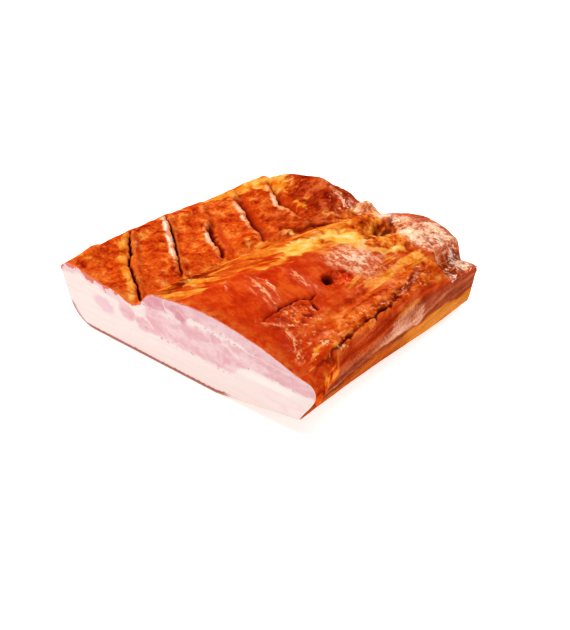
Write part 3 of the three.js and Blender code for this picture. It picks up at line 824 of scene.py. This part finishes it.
def crustFinish():
    material, tree, shader = newFinish("smokedCrust")
    place = slabPlace(tree)
    plus, minus, times, larger = arithmetic(tree)[:4]
    tilt = (math.radians(crust["sideTilt"]), 0, 0)
    tilted = addNode(tree, "ShaderNodeMapping", {"Vector": place, "Rotation": tilt}).outputs[0]

    def mask(name):
        return field(tree, name)

    def ramp(value, *limits):
        return span(tree, value, *limits)

    pattern = patternSet(tree, place, crust)
    pattern["layers"] = drawnOut(tree, tilted, *crust["layers"])
    pattern["cavity"] = mask("cavity")
    for name, shares in crust["mixes"].items():
        total = 0.0
        for part, share in shares.items():
            total = plus(total, times(pattern[part], share))
        pattern[name] = total

    def patchy(name, along, *limits):  # a mask that comes and goes with a pattern
        return times(mask(name), ramp(pattern[along], *limits))

    def frayed(name, along, amount, low, high):  # a mask with an edge that follows a pattern
        share = mask(name)
        edge = ramp(plus(share, times(minus(pattern[along], 0.5), amount)), low, high)
        return times(edge, ramp(share, 0.02, 0.2))

    def lighten(share, name, full=0.3):  # a row, mostly painted highlight, that goes from orange to cream as its share grows
        pattern[name] = share
        return ramp(share, 0.03, full), name, name

    def paint(colour, rows):  # lays a tint, or a row of tints along a pattern, over what is there
        for share, name, *along in rows:
            over = tintRamp(tree, pattern[along[0]], crust[name]) if along else tint(*crust[name])
            colour = mixTint(tree, share, colour, over)
        return colour

    crests = patchy("crest", "grit", 0.4, 0.58, 0, 0.8)
    wrinkleSkinAndSheen = larger(patchy("glow", "hairs", 0.46, 0.62, 0, 0.45), crests)
    # painted shade: the hollows of the raised relief turn darker red, less so on the fat lobes
    paintedHollowShade = times(ramp(pattern["cavity"], -0.1, -0.8, 0, 0.6), ramp(mask("lobes"), 0, 1, 1, 0.3))
    top = paint(tintRamp(tree, pattern["flank"], crust["flankTints"]), [
        (mask("strips"), "stripTints", "spotted"),
        (mask("darkBack"), "backTints", "spotted"),
        (ramp(mask("raw"), 0.2, 0.7), "rawTints", "ruddy"),
        (mask("rightZone"), "zoneTints", "zone"),
        (patchy("nearCut", "mottle", 0.35, 0.65, 0, 0.7), "edgeOrangeAndHighlight"),
        # the smooth wall behind each slit: its own orange, darkened to red partly as painted shade
        (times(mask("recess"), 0.85), "recessTint"),
        (frayed("seamFat", "streaks", 3.2, 0.25, 0.8), "seamTints", "seam"),
        # painted shade in the fold along the seam's edge; the strands below are the seam's own dark streaks
        (times(mask("seamEdge"), 0.8), "seamStreakAndShade"),
        (patchy("seamStrand", "streaks", 0.54, 0.46, 0, 0.9), "seamStreakAndShade"),
        (frayed("amber", "lengthwise", 3, 0.4, 0.9), "fatTints", "amber"),
        (frayed("rimFat", "mottle", 2, 0.4, 0.9), "fatTints", "fat"),
        (frayed("knob", "mottle", 1, 0.3, 0.7), "knobTints", "knob"),
        (mask("ledge"), "ledgeTints", "ledge"),
        (frayed("crumbFat", "mottle", 1.6, 0.25, 0.6), "crumbTints", "crumb"),
        (frayed("channel", "mottle", 1, 0.3, 0.7), "channelTints", "crumb"),
        (ramp(mask("foldWall"), 0.15, 0.6), "foldTints", "fold"),
        # painted shade: dark brown streaks down in the fold's hollow
        (patchy("fold", "strands", 0.62, 0.45, 0.1, 0.9), "foldShade"),
        (frayed("lobes", "mottle", 1.4, 0.3, 0.8), "lobeTints", "lobe"),
        # partly silverskin, partly painted sheen: the flank's wrinkle crests and the glow beside them
        lighten(wrinkleSkinAndSheen, "silverskinAndSheenTints"),
        # painted sheen: pale peach haze on the flank behind the hook hole
        lighten(patchy("haze", "haze", 0.42, 0.58, 0.3, 0.95), "hazySheenTints", 0.7),
        # partly pale fat, partly painted highlight: the cream lips in front of the slits
        lighten(patchy("pale", "mottle", 0.38, 0.52, 0.28, 1), "paleLipAndHighlightTints"),
        (paintedHollowShade, "shadeRedTint"),
        # painted highlight: lighter orange on the raised bits of the strips
        (patchy("strips", "cavity", 0.15, 0.7, 0, 0.55), "edgeOrangeAndHighlight"),
    ])
    side = paint(tintRamp(tree, pattern["side"], crust["redTints"]), [
        (mask("brown"), "brownTints", "side"),
        # partly a pale layer of the meat, partly painted sheen: the pale wedge on the side
        (frayed("wedge", "side", 2.4, 0.25, 0.85), "paleWedgeAndSheenTints", "side"),
        (times(frayed("wedgeRim", "side", 3, 0.2, 1), 0.6), "amberTints", "side"),
        (mask("foot"), "footTints", "side"),
        (mask("amberFoot"), "amberTints", "side"),
        (patchy("footGlow", "side", 0.4, 0.6, 0, 0.6), "glowTint"),
        (times(mask("footLine"), 0.8), "sideDark"),
        (mask("flap"), "zoneTints", "ruddy"),
        (times(mask("flapEdge"), 0.8), "edgeOrangeAndHighlight"),
        (mask("rindSide"), "rindTints", "rind"),
    ])
    colour = paint(mixTint(tree, mask("side"), top, side), [
        (mask("hole"), "holeTints", "hole"),
        # painted shade along the back rim of the hook hole
        (times(mask("holeRim"), 0.7), "shadeRedTint"),
        # painted shade: darker red, then near black, down in the slits, cracks and the pit
        (ramp(mask("hollowShade"), 0.08, 0.4, 0, 0.9), "shadeRedTint"),
        (ramp(mask("hollowShade"), 0.3, 0.8), "hollowShadeTint"),
        # painted highlight: white-peach sheen spots over the knob's own peach and red
        (times(frayed("sheen", "dabs", 2.6, 0.25, 0.75), 0.9), "sheenTints", "dabs"),
        # painted glints: small cream dabs on the ledge, crumbs, raw patch and hook hole
        lighten(patchy("dabs", "beads", 0.6, 0.67), "glintTints"),
    ])
    wet = larger(patchy("wet", "wet", 0.49, 0.58), times(mask("glow"), 0.2))
    skin = times(pattern["skin"], ramp(mask("strips"), 0, 1, 1, 2.4))
    connect(tree, shader, {
        "Base Color": colour,
        "Normal": bumpNormal(tree, skin, crust["skinBump"], crust["bumpDistance"]),
        "Coat Weight": larger(wet, mask("gloss")),
        "Coat Normal": bumpNormal(tree, pattern["droplets"], crust["dropletBump"], crust["bumpDistance"]),
        "Roughness": crust["roughness"],
        "Coat Roughness": crust["coatRoughness"],
        "Specular IOR Level": 0.0,
    })
    return material


cut = {
    "fat": (247, 225, 217), "fatStreak": (244, 214, 206), "fatWhite": (252, 236, 228),
    "lean": (229, 162, 167), "leanPale": (242, 203, 202), "leanDark": (220, 136, 147),
    "lilac": (235, 190, 198), "blush": (250, 227, 221), "fleck": (192, 120, 96),
    "rindLine": (168, 62, 42), "rindFoot": (200, 146, 124), "crustEdge": (224, 92, 34),
    "leanLow": [(-60, 21), (-30, 22), (0, 21.5), (25, 21.5), (40, 21), (50, 22.5), (58, 28), (66, 31.2),
                (80, 32), (94, 31.5), (112, 31)],
    "leanLeft": -27,
    "midSeam": [(-34, 40), (-20, 41), (-8, 41.6), (0, 42), (8, 43.6), (15, 45), (25, 45.6), (40, 45),
                (55, 44.5), (64, 43), (112, 40)],
    "midSeamHalf": [(-34, 0.6), (-8, 0.8), (4, 1.0), (11, 2.0), (17, 2.8), (24, 1.7), (40, 1.8), (53, 1.5),
                    (61, 0.5), (64, 0), (112, 0)],
    "whiteLines": [
        ([(-38, 36), (-33, 32), (-27, 30.5), (-21, 27)], 0.7),
        ([(43, 40.5), (47, 39.5), (52, 37), (56, 35.5)], 0.6),
        ([(-9, 51), (-6, 46), (-1, 44), (5, 42)], 0.8),
    ],
    "lobes": [
        ((-70, 26), (12, 6), -8, "lilac"), ((-46, 29.3), (9, 7), -10, "lean"),
        ((-31, 25.5), (8.5, 5.5), -20, "lean"), ((-21.5, 24.5), (6, 3.4), -15, "lean"),
        ((-105, 41.6), (10, 3.4), 8, "lilac"), ((-82, 39.6), (4, 2.2), 0, "lilac"),
        ((-65, 38), (11, 3.2), -12, "lilac"), ((-52, 35.8), (7, 3.2), -25, "lilac"),
        ((-17, 46.5), (14, 6), 8, "leanDark"), ((4, 46.8), (9.5, 6.4), -12, "leanDark"),
        ((94, 17.5), (26, 6), 4, "blush"), ((-20, 15.5), (60, 2.6), 0, "blush"),
    ],
    "lens": ((79, 27), (28, 3.6), 2),
    "patterns": {  # size in millimetres, detail, roughness and distortion
        "wobble": (9, 3, 0.55), "wobbleFine": (3, 3, 0.55), "marble": (8, 4, 0.6, 0.8), "gaps": (6, 3, 0.6),
    },
    "drawnOut": {  # angle in plan and stretch, then the same
        "streaks": (0, (0.05, 1, 1), 2.4, 4, 0.55, 0.3), "grain": (0, (0.4, 1, 1), 5, 4, 0.55, 0.5),
        "specks": (0, (0.5, 1, 1), 1.5, 2, 0.5),
    },
    "subsurface": 0.12, "subsurfaceScale": 0.0025, "roughness": 0.38, "bump": 0.25, "bumpDistance": 0.0004,
}


def lineHeight(tree, acrossShare, points, reach=70.0):  # the height of a drawn line at each x
    node = addNode(tree, "ShaderNodeFloatCurve", {"Value": acrossShare})
    line = node.mapping.curves[0]
    while len(line.points) < len(points):
        line.points.new(0.5, 0.5)
    for point, (x, z) in zip(line.points, points):
        point.location = ((x + halfWidth) / (2 * halfWidth), z / reach)
    node.mapping.update()
    return calc(tree, "MULTIPLY", node.outputs[0], reach)


def lobeField(tree, x, z, centre, size, angle):  # millimetres inside a lobe
    plus, minus, times = arithmetic(tree)[:3]
    cosine, sine = math.cos(math.radians(angle)), math.sin(math.radians(angle))
    fromX, fromZ = minus(x, centre[0]), minus(z, centre[1])
    alongLobe = plus(times(fromX, cosine / size[0]), times(fromZ, sine / size[0]))
    acrossLobe = minus(times(fromZ, cosine / size[1]), times(fromX, sine / size[1]))
    squares = plus(times(alongLobe, alongLobe), times(acrossLobe, acrossLobe))
    return times(minus(1.0, calc(tree, "SQRT", squares)), size[1])


def cutFinish():
    material, tree, shader = newFinish("freshCut")
    place = slabPlace(tree)
    axes = addNode(tree, "ShaderNodeSeparateXYZ", {0: place}).outputs
    plus, minus, times, larger, smaller = arithmetic(tree)

    def ramp(value, *limits):
        return span(tree, value, *limits)

    def offset(value, middle):
        return calc(tree, "ABSOLUTE", minus(value, middle))

    def cover(colour, share, name):
        return mixTint(tree, share, colour, tint(*cut[name]))

    pattern = patternSet(tree, place, cut)
    wobble, wobbleFine = [minus(pattern[name], 0.5) for name in ("wobble", "wobbleFine")]
    x = plus(axes[0], times(wobbleFine, 4.0))
    z = plus(axes[2], plus(times(wobble, 5.0), times(wobbleFine, 2.0)))
    acrossShare = calc(tree, "DIVIDE", plus(x, halfWidth), 2 * halfWidth)
    crustGap, rindGap = field(tree, "crustGap"), field(tree, "height")

    marble = plus(times(pattern["grain"], 0.6), times(pattern["marble"], 0.4))
    fat = cover(tint(*cut["fat"]), ramp(pattern["streaks"], 0.48, 0.72, 0, 0.7), "fatStreak")
    lean = cover(tint(*cut["lean"]), ramp(marble, 0.38, 0.62), "leanPale")
    seamHalf = lineHeight(tree, acrossShare, cut["midSeamHalf"], 5.0)
    seamHalf = times(seamHalf, ramp(pattern["gaps"], 0.35, 0.6, 0.3, 1.3))
    inLean = minus(z, lineHeight(tree, acrossShare, cut["leanLow"]))
    inLean = smaller(inLean, times(minus(x, cut["leanLeft"]), 0.6))
    inLean = smaller(inLean, minus(offset(z, lineHeight(tree, acrossShare, cut["midSeam"])), seamHalf))
    colour = mixTint(tree, ramp(inLean, -1.2, 1.6), fat, lean)
    upper = times(ramp(crustGap, 10, 1), ramp(inLean, -0.5, 1.2))
    colour = cover(colour, times(upper, 0.5), "lilac")
    leftBand = times(ramp(axes[0], -46, -58), ramp(plus(crustGap, times(wobble, 9.0)), 6, 3))
    colour = cover(colour, times(leftBand, 0.9), "lilac")
    for centre, size, angle, name in cut["lobes"]:
        inside = ramp(lobeField(tree, x, z, centre, size, angle), -0.8, 2.4)
        spotted = cover(tint(*cut[name]), ramp(pattern["grain"], 0.4, 0.68, 0, 0.6), "leanPale")
        colour = mixTint(tree, inside, colour, spotted)
    for points, half in cut["whiteLines"]:
        middle, reach = (points[0][0] + points[-1][0]) / 2, (points[-1][0] - points[0][0]) / 2
        fromLine = offset(z, lineHeight(tree, acrossShare, points))
        off = minus(larger(fromLine, minus(offset(x, middle), reach)), half)
        colour = cover(colour, ramp(off, 1.4, -0.6, 0, 0.75), "fat")
    colour = cover(colour, ramp(lobeField(tree, x, z, *cut["lens"]), -1.2, 2.2), "fatWhite")
    besideLean = ramp(offset(inLean, 0.0), 2.2, 0.4)
    colour = cover(colour, times(besideLean, ramp(pattern["specks"], 0.6, 0.7, 0, 0.8)), "fleck")
    low = ramp(axes[0], 50, 40)
    lowLine = times(low, ramp(plus(rindGap, times(wobbleFine, 2.0)), 3.1, 2.1))
    leftLine = times(field(tree, "rindSide"), ramp(axes[2], 18, 13))
    colour = cover(colour, larger(lowLine, leftLine), "rindLine")
    colour = cover(colour, times(low, ramp(rindGap, 1.1, 0.5)), "rindFoot")
    raggedLeft = times(minus(wobble, 0.06), ramp(axes[0], -40, -60, 0, 22))
    edge = plus(crustGap, plus(times(wobbleFine, 2.5), raggedLeft))
    colour = cover(colour, ramp(edge, 1.2, 0.4), "crustEdge")
    connect(tree, shader, {
        "Base Color": colour,
        "Normal": bumpNormal(tree, pattern["grain"], cut["bump"], cut["bumpDistance"]),
        "Roughness": cut["roughness"],
        "Subsurface Weight": cut["subsurface"],
        "Subsurface Scale": cut["subsurfaceScale"],
    })
    return material


rindSkin = {
    "tints": [(0.3, (120, 48, 16)), (0.5, (172, 84, 30)), (0.7, (204, 122, 50))], "poreTint": (96, 36, 12),
    "patches": (16, 5, 0.6, 0.4), "poreSize": 2.4, "roughness": 0.45, "bump": 0.5, "bumpDistance": 0.0005,
}


def rindFinish():
    material, tree, shader = newFinish("smokedRind")
    place = slabPlace(tree)
    colour = tintRamp(tree, noise(tree, place, *rindSkin["patches"]), rindSkin["tints"])
    values = {"Vector": place, "Scale": 1 / rindSkin["poreSize"]}
    pores = addNode(tree, "ShaderNodeTexVoronoi", values).outputs["Distance"]
    colour = mixTint(tree, span(tree, pores, 0.25, 0.05, 0, 0.5), colour, tint(*rindSkin["poreTint"]))
    connect(tree, shader, {
        "Base Color": colour,
        "Normal": bumpNormal(tree, pores, rindSkin["bump"], rindSkin["bumpDistance"]),
        "Roughness": rindSkin["roughness"],
    })
    return material


skinRelief = {
    "Lump height": 4.2, "Lump size": 12.0, "Fine height": 0.9, "Fine size": 4.5,
    "Wrinkle height": 2.2, "Wrinkle size": 9.0, "Soft height": 3.0, "Soft size": 26.0,
    "Skin height": 0.7, "Skin size": 4.0, "Rough height": 4.0, "Rough size": 6.0,
    "Crumb height": 1.2, "Crumb size": 3.2, "Crag height": 8.0, "Crag size": 17.0,
    "Lobe height": 3.0, "Lobe size": 15.0, "Strand height": 5.0, "Strand size": 5.5,
    "Streak height": 3.0, "Streak size": 8.0, "Layer height": 2.0, "Layer size": 5.0, "Seed": 3.0,
}


def reliefTree(finishes):  # crinkles, crags, fat crumbs and seam streaks raised along the skin
    tree = bpy.data.node_groups.new("slabRelief", "GeometryNodeTree")
    tree.interface.new_socket("Geometry", in_out="INPUT", socket_type="NodeSocketGeometry")
    tree.interface.new_socket("Geometry", in_out="OUTPUT", socket_type="NodeSocketGeometry")
    sockets = {name: tree.interface.new_socket(name, in_out="INPUT", socket_type="NodeSocketFloat")
               for name in skinRelief}
    start = addNode(tree, "NodeGroupInput").outputs
    position = addNode(tree, "GeometryNodeInputPosition").outputs[0]
    plus, minus, times = arithmetic(tree)[:3]

    def vector(operation, first, second):
        slot = "Scale" if operation == "SCALE" else 1
        outlet = "Value" if operation == "DOT_PRODUCT" else 0
        values = {0: first, slot: second}
        return addNode(tree, "ShaderNodeVectorMath", values, operation=operation).outputs[outlet]

    place = vector("SCALE", position, 1 / millimetre)
    place = vector("ADD", place, start["Seed"])

    def mask(name):
        return addNode(tree, "GeometryNodeInputNamedAttribute", {"Name": name}, data_type="FLOAT").outputs[0]

    def wave(where, size, detail):
        values = {"Vector": where, "Scale": calc(tree, "DIVIDE", 1.0, size), "Detail": detail,
                  "Roughness": 0.55}
        return minus(addNode(tree, "ShaderNodeTexNoise", values).outputs[0], 0.5)

    def folded(where, size, detail):  # sharp creases between rounded swellings
        return minus(calc(tree, "ABSOLUTE", wave(where, size, detail)), 0.08)

    def pebbles(where, size, detail):  # rounded cells with narrow gaps
        shifted = vector("ADD", where, times(wave(where, size, detail), times(size, 3.0)))
        values = {"Vector": shifted, "Scale": calc(tree, "DIVIDE", 1.0, size), "Smoothness": 0.3}
        cells = addNode(tree, "ShaderNodeTexVoronoi", values, feature="SMOOTH_F1")
        return minus(0.45, cells.outputs["Distance"])

    def drawnPlace(angle, scale):
        turn = {"Vector": place, "Angle": math.radians(angle)}
        rotated = addNode(tree, "ShaderNodeVectorRotate", turn, rotation_type="Z_AXIS").outputs[0]
        return vector("MULTIPLY", rotated, scale)

    patterns = [
        ("Lump", "lump", wave, place, 2.0), ("Fine", "lump", wave, place, 1.0),
        ("Wrinkle", "lump", folded, place, 2.0), ("Soft", "soft", wave, place, 2.0),
        ("Skin", "soft", wave, place, 3.0), ("Rough", "rough", wave, place, 3.0),
        ("Crumb", "crumb", pebbles, place, 2.0), ("Crag", "crag", folded, place, 2.0),
        ("Lobe", "lobed", pebbles, place, 2.0),
        ("Strand", "strand", wave, drawnPlace(-130, (0.22, 1, 1)), 2.0),
        ("Streak", "streak", wave, drawnPlace(-62, (0.28, 1, 1)), 2.0),
        ("Layer", "layered", wave, drawnPlace(0, (1, 0.08, 1)), 4.0),
    ]
    total = mask("proud")
    for name, area, pattern, where, detail in patterns:
        shape = pattern(where, start[name + " size"], detail)
        total = plus(total, times(times(shape, start[name + " height"]), mask(area)))
    normal = addNode(tree, "GeometryNodeInputNormal").outputs[0]
    offset = vector("SCALE", normal, times(total, millimetre))
    moved = addNode(tree, "GeometryNodeSetPosition", {"Geometry": start["Geometry"], "Offset": offset})
    blur = {"Value": position, "Iterations": 8}
    level = addNode(tree, "GeometryNodeBlurAttribute", blur, data_type="FLOAT_VECTOR").outputs[0]
    proud = vector("DOT_PRODUCT", vector("SUBTRACT", position, level), normal)
    proud = calc(tree, "DIVIDE", proud, millimetre)
    values = {"Geometry": moved.outputs[0], "Name": "cavity", "Value": proud}
    kept = addNode(tree, "GeometryNodeStoreNamedAttribute", values, data_type="FLOAT", domain="POINT")
    geometry = addNode(tree, "GeometryNodeRealizeInstances", {"Geometry": kept.outputs[0]}).outputs[0]
    finish = addNode(tree, "GeometryNodeInputNamedAttribute", {"Name": "finish"}, data_type="INT").outputs[0]
    for index, material in enumerate(finishes):
        chosen = addNode(tree, "FunctionNodeCompare", {2: finish, 3: index}, data_type="INT",
                         operation="GREATER_EQUAL")
        values = {"Geometry": geometry, "Selection": chosen.outputs[0], "Material": material}
        geometry = addNode(tree, "GeometryNodeSetMaterial", values).outputs[0]
    addNode(tree, "NodeGroupOutput", {"Geometry": geometry})
    return tree, sockets


sharpAngle = 62  # degrees


def makeBelly():
    piece = bpy.data.objects.new("pork_belly_dressed", slabMesh())
    bpy.context.scene.collection.objects.link(piece)
    print("slab skin made", len(piece.data.polygons), "faces")
    tree, sockets = reliefTree([crustFinish(), cutFinish(), rindFinish()])
    modifier = piece.modifiers.new("relief", "NODES")
    modifier.node_group = tree
    for name, value in skinRelief.items():
        modifier[sockets[name].identifier] = value
    evaluated = piece.evaluated_get(bpy.context.evaluated_depsgraph_get())
    finished = bpy.data.meshes.new_from_object(evaluated)
    piece.modifiers.clear()
    piece.data = finished
    finished.name = "pork_belly_dressed"
    finished.set_sharp_from_angle(angle=math.radians(sharpAngle))
    print("relief raised", [material.name for material in finished.materials])
    return piece


pork = makeBelly()
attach(pork, "root")
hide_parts("pork_belly")

studio = {
    "azimuth": 40, "elevation": 31, "focalPixels": 900, "imageHeight": 630, "sensorHeight": 36,
    "aim": (6.9, -5.2, 0), "distance": 658.2, "sky": 0.1, "floorTint": (250, 250, 250), "floorSize": 6,
    "floorGlow": 0.7, "floorRoughness": 0.9, "floorHeight": -0.0004, "lampAim": (0, 0, 0.04),
    "glintTint": (1, 0.74, 0.5), "softTint": (1, 1, 1),
    "lamps": [  # name, place, size, watts and role: soft lights the colour, glint the gloss
        ("topPanel", (0.1, 0.1, 2.2), (2.2, 2.2), 30, "soft"),
        ("leftKey", (-1.05, -0.05, 0.9), (0.5, 0.5), 14, "soft"),
        ("rightPanel", (1.3, -0.4, 0.5), (0.7, 0.6), 4, "soft"),
        ("overheadGlint", (0.05, 0.1, 1.5), (0.25, 0.25), 7.5, "glint"),
        ("backGlint", (-0.8, 1.0, 0.8), (0.4, 0.3), 15, "glint"),
        ("lowBackGlint", (-0.35, 1.3, 0.45), (0.5, 0.25), 15, "glint"),
    ],
}


def addCamera():
    azimuth, elevation = math.radians(studio["azimuth"]), math.radians(studio["elevation"])
    away = Vector((math.sin(azimuth) * math.cos(elevation), -math.cos(azimuth) * math.cos(elevation),
                   math.sin(elevation)))
    aim = (Vector(studio["aim"]) + slabShift) * millimetre
    lens = bpy.data.cameras.new("photoLens")
    lens.sensor_fit = "VERTICAL"
    lens.sensor_height = studio["sensorHeight"]
    lens.lens = studio["focalPixels"] / studio["imageHeight"] * lens.sensor_height
    lens.clip_start = 0.01
    camera = bpy.data.objects.new("photoCamera", lens)
    camera.location = aim + away * studio["distance"] * millimetre
    camera.rotation_euler = (-away).to_track_quat("-Z", "Y").to_euler()
    bpy.context.scene.collection.objects.link(camera)
    bpy.context.scene.camera = camera


def addLamp(name, place, size, power, role):
    data = bpy.data.lights.new(name, "AREA")
    data.shape = "RECTANGLE"
    data.size, data.size_y = size
    data.energy = power
    data.color = studio[role + "Tint"]
    data.cycles.use_multiple_importance_sampling = role == "glint"
    lamp = bpy.data.objects.new(name, data)
    lamp.visible_glossy = role == "glint"
    lamp.visible_diffuse = role == "soft"
    lamp.location = place
    towards = Vector(studio["lampAim"]) - Vector(place)
    lamp.rotation_euler = towards.to_track_quat("-Z", "Y").to_euler()
    bpy.context.scene.collection.objects.link(lamp)


def addStudio():
    world = bpy.data.worlds.new("studioSky")
    world.use_nodes = True
    bpy.context.scene.world = world
    sky = world.node_tree.nodes["Background"]
    sky.inputs["Color"].default_value = (1, 1, 1, 1)
    sky.inputs["Strength"].default_value = studio["sky"]
    half = studio["floorSize"] / 2
    data = bpy.data.meshes.new("studioFloor")
    corners = [(-half, -half, 0), (half, -half, 0), (half, half, 0), (-half, half, 0)]
    data.from_pydata(corners, [], [(0, 1, 2, 3)])
    floor = bpy.data.objects.new("studioFloor", data)
    floor.location.z = studio["floorHeight"]
    bpy.context.scene.collection.objects.link(floor)
    material, floorTree, shader = newFinish("paleFloor")
    connect(floorTree, shader, {
        "Base Color": tint(*studio["floorTint"]),
        "Roughness": studio["floorRoughness"],
        "Emission Color": (1, 1, 1, 1),
        "Emission Strength": studio["floorGlow"],
    })
    data.materials.append(material)
    for lamp in studio["lamps"]:
        addLamp(*lamp)
    bpy.context.scene.view_settings.view_transform = "Standard"


addCamera()
addStudio()
print("studio set")
